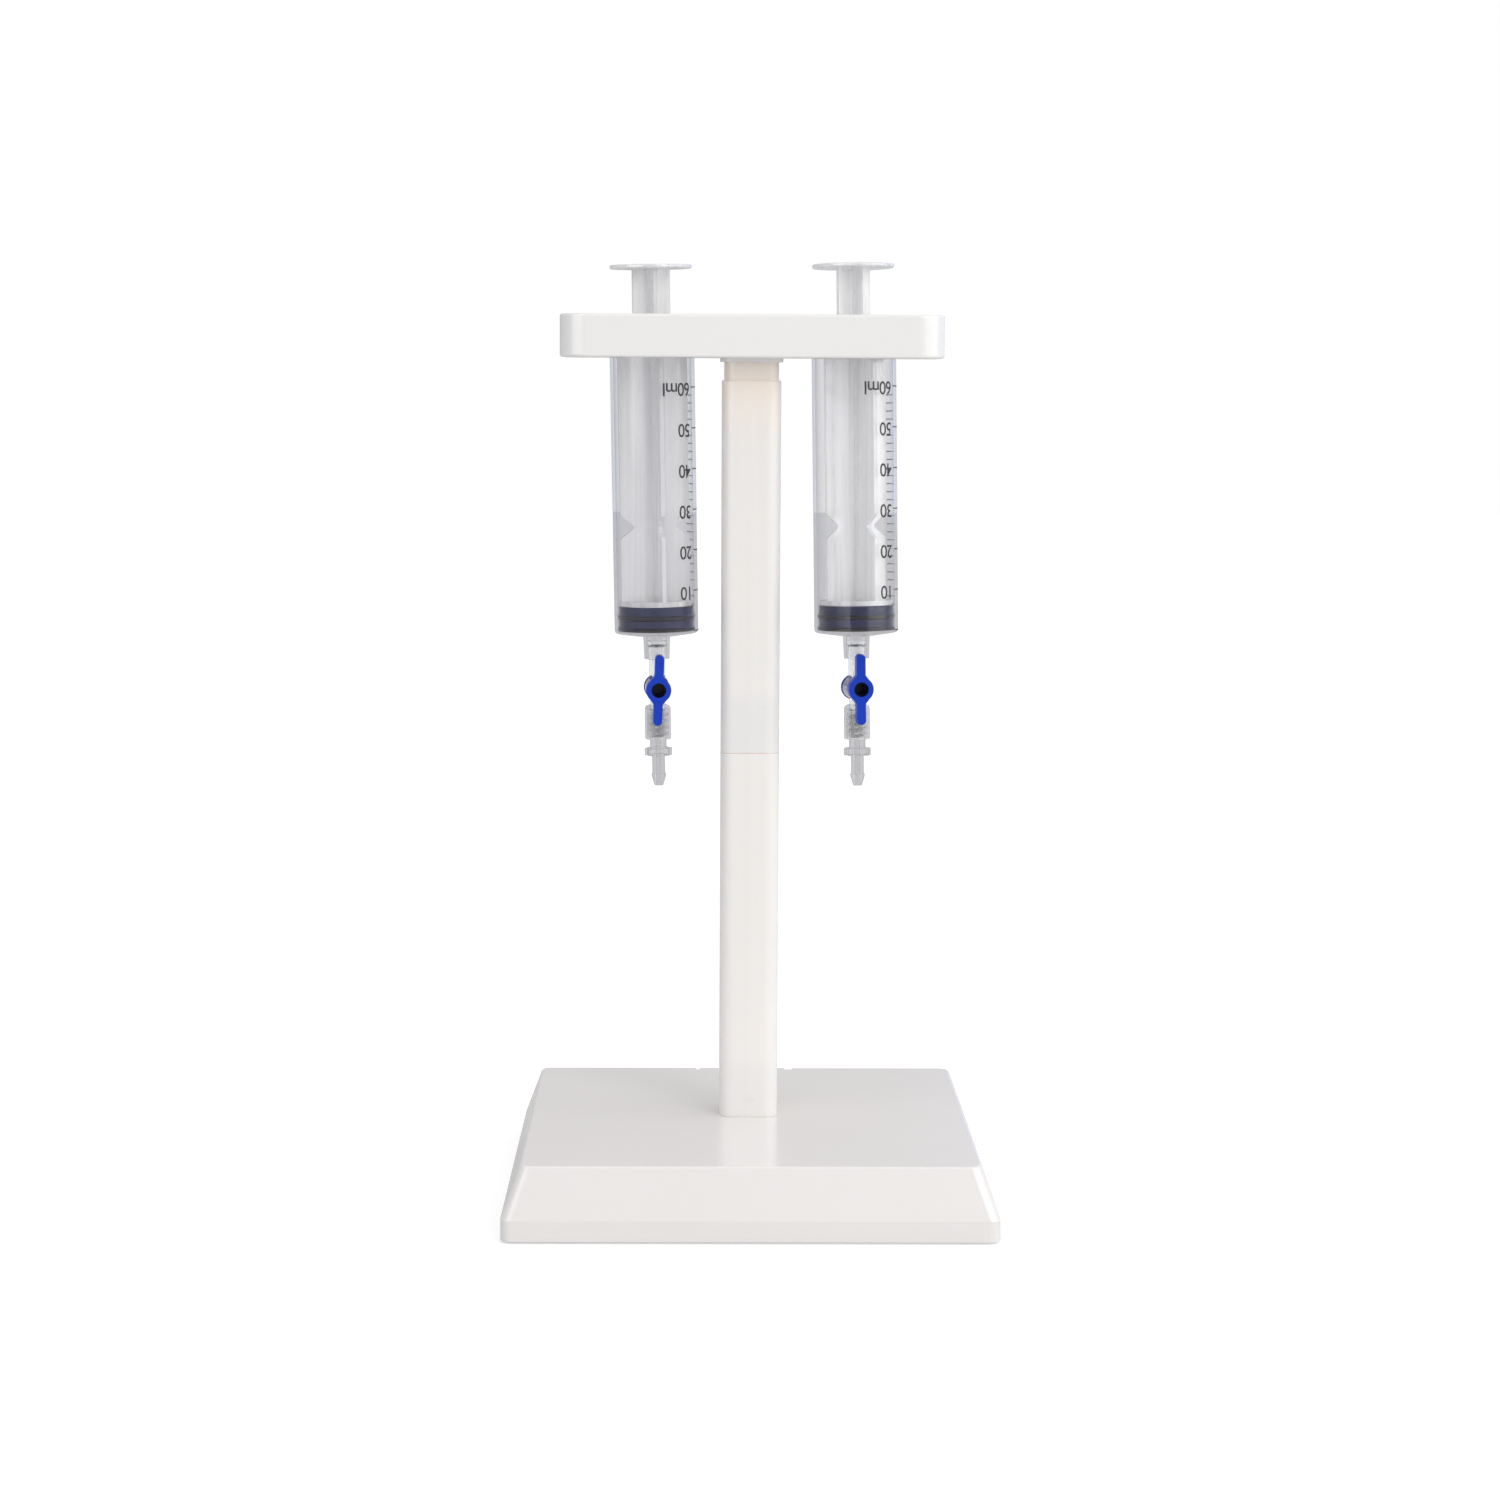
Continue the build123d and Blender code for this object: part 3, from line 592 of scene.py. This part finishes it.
direct, behind, bent = seen_through_plastic(pale.node_tree)
bright = pale.node_tree.nodes.new("ShaderNodeMath")
bright.operation = "MULTIPLY_ADD"
bright.inputs[1].default_value = 0.6
pale.node_tree.links.new(bent, bright.inputs[0])
pale.node_tree.links.new(direct, bright.inputs[2])
lift = pale.node_tree.nodes.new("ShaderNodeMath")
lift.operation = "MULTIPLY"
lift.inputs[1].default_value = 0.5
pale.node_tree.links.new(bright.outputs["Value"], lift.inputs[0])
pale.node_tree.links.new(lift.outputs["Value"], paper.inputs["Emission Strength"])
dimmer = pale.node_tree.nodes.new("ShaderNodeMix")
dimmer.data_type = "RGBA"
dimmer.inputs["A"].default_value = (0.66, 0.66, 0.66, 1)
dimmer.inputs["B"].default_value = (0.69, 0.69, 0.715, 1)
pale.node_tree.links.new(behind, dimmer.inputs["Factor"])
pale.node_tree.links.new(dimmer.outputs["Result"], paper.inputs["Base Color"])
floor_mesh.materials.append(pale)

world = bpy.data.worlds.new("studio_air")
bpy.context.scene.world = world
world.use_nodes = True
air = world.node_tree
surround = air.nodes["Background"]
backdrop = air.nodes.new("ShaderNodeBackground")
backdrop.inputs["Color"].default_value = (1.0, 1.0, 1.0, 1)
direction = air.nodes.new("ShaderNodeTexCoord")
parts = air.nodes.new("ShaderNodeSeparateXYZ")
air.links.new(direction.outputs["Generated"], parts.inputs["Vector"])
depth = air.nodes.new("ShaderNodeValToRGB")
depth.color_ramp.elements[0].color = (0.98, 0.97, 0.96, 1)
depth.color_ramp.elements[1].color = (0.82, 0.82, 0.83, 1)
toward_back = air.nodes.new("ShaderNodeMapRange")
toward_back.inputs["From Min"].default_value = -0.6
toward_back.inputs["From Max"].default_value = 0.9
air.links.new(parts.outputs["Y"], toward_back.inputs["Value"])
air.links.new(toward_back.outputs["Result"], depth.inputs["Fac"])
wing = air.nodes.new("ShaderNodeMapRange")
wing.interpolation_type = "SMOOTHSTEP"
wing.inputs["From Min"].default_value = -0.45
wing.inputs["From Max"].default_value = -0.85
air.links.new(parts.outputs["X"], wing.inputs["Value"])
shaded = air.nodes.new("ShaderNodeMix")
shaded.data_type = "RGBA"
shaded.inputs["B"].default_value = (0.40, 0.41, 0.47, 1)
air.links.new(wing.outputs["Result"], shaded.inputs["Factor"])
air.links.new(depth.outputs["Color"], shaded.inputs["A"])
air.links.new(shaded.outputs["Result"], surround.inputs["Color"])
surround.inputs["Strength"].default_value = 1.0
direct, _, _ = seen_through_plastic(air)
azimuth = air.nodes.new("ShaderNodeMath")
azimuth.operation = "ARCTAN2"
frontward = air.nodes.new("ShaderNodeMath")
frontward.operation = "MULTIPLY"
frontward.inputs[1].default_value = -1.0
air.links.new(parts.outputs["Y"], frontward.inputs[0])
air.links.new(parts.outputs["X"], azimuth.inputs[0])
air.links.new(frontward.outputs["Value"], azimuth.inputs[1])
round_room = air.nodes.new("ShaderNodeMapRange")
round_room.inputs["From Min"].default_value = -math.pi
round_room.inputs["From Max"].default_value = math.pi
air.links.new(azimuth.outputs["Value"], round_room.inputs["Value"])
panels = air.nodes.new("ShaderNodeValToRGB")
grey = (1.0, 1.0, 1.0)
cool = (0.55, 0.70, 1.0)
left_panel = [(-110, 0.18, grey), (-95, 0.10, grey), (-66, 0.10, grey), (-60, 1.0, grey)]
left_panel += [(-22, 1.0, grey), (-16, 0.10, grey)]
right_panel = [(30, 0.10, grey), (38, 0.85, grey), (84, 0.85, grey), (92, 0.10, grey)]
cool_panel = [(112, 0.14, grey), (124, 0.42, cool), (168, 0.42, cool), (176, 0.18, grey)]
panels.color_ramp.elements.remove(panels.color_ramp.elements[1])
panels.color_ramp.elements[0].position = 0.0
panels.color_ramp.elements[0].color = (0.18, 0.18, 0.18, 1)
for angle, level, tint in left_panel + right_panel + cool_panel:
    stop = panels.color_ramp.elements.new((angle + 180) / 360)
    stop.color = (*[level * part for part in tint], 1)
air.links.new(round_room.outputs["Result"], panels.inputs["Fac"])
mirrored = air.nodes.new("ShaderNodeBackground")
mirrored.inputs["Strength"].default_value = 2.4
air.links.new(panels.outputs["Color"], mirrored.inputs["Color"])
glossy = air.nodes.new("ShaderNodeLightPath")
room = air.nodes.new("ShaderNodeMixShader")
air.links.new(glossy.outputs["Is Glossy Ray"], room.inputs["Fac"])
air.links.new(surround.outputs["Background"], room.inputs[1])
air.links.new(mirrored.outputs["Background"], room.inputs[2])
choose = air.nodes.new("ShaderNodeMixShader")
air.links.new(direct, choose.inputs["Fac"])
air.links.new(room.outputs["Shader"], choose.inputs[1])
air.links.new(backdrop.outputs["Background"], choose.inputs[2])
air.links.new(choose.outputs["Shader"], air.nodes["World Output"].inputs["Surface"])


def softbox(name, at, aim, size, power):
    light = bpy.data.lights.new(name, "AREA")
    light.shape = "RECTANGLE"
    light.size = size[0]
    light.size_y = size[1]
    light.energy = power
    lamp = bpy.data.objects.new(name, light)
    lamp.location = at
    lamp.rotation_euler = (Vector(aim) - Vector(at)).to_track_quat("-Z", "Y").to_euler()
    bpy.context.collection.objects.link(lamp)


softbox("key_light", (0.8, -1.2, 0.9), (0, 0, 0.18), (0.7, 0.9), 5.0)
softbox("fill_light", (-1.1, -0.9, 0.6), (0, 0, 0.18), (0.8, 0.8), 0.8)
softbox("side_light", (1.3, -0.2, 0.7), (0, 0, 0.18), (0.5, 0.9), 1.6)

camera_place = (-0.017, -1.193, 0.3051)
camera_angles = {"pitch": 83.33, "yaw": -0.82, "roll": 0.3}
camera_data = bpy.data.cameras.new("front_camera")
camera_data.sensor_width = 36.0
camera_data.lens = 76.93
camera_data.clip_start = 0.05
camera = bpy.data.objects.new("front_camera", camera_data)
bpy.context.collection.objects.link(camera)
pitch = Matrix.Rotation(math.radians(camera_angles["pitch"]), 4, "X")
yaw = Matrix.Rotation(math.radians(camera_angles["yaw"]), 4, "Z")
roll = Matrix.Rotation(math.radians(camera_angles["roll"]), 4, "Z")
camera.matrix_world = Matrix.Translation(camera_place) @ yaw @ pitch @ roll
bpy.context.scene.camera = camera
bpy.context.scene.view_settings.view_transform = "Standard"
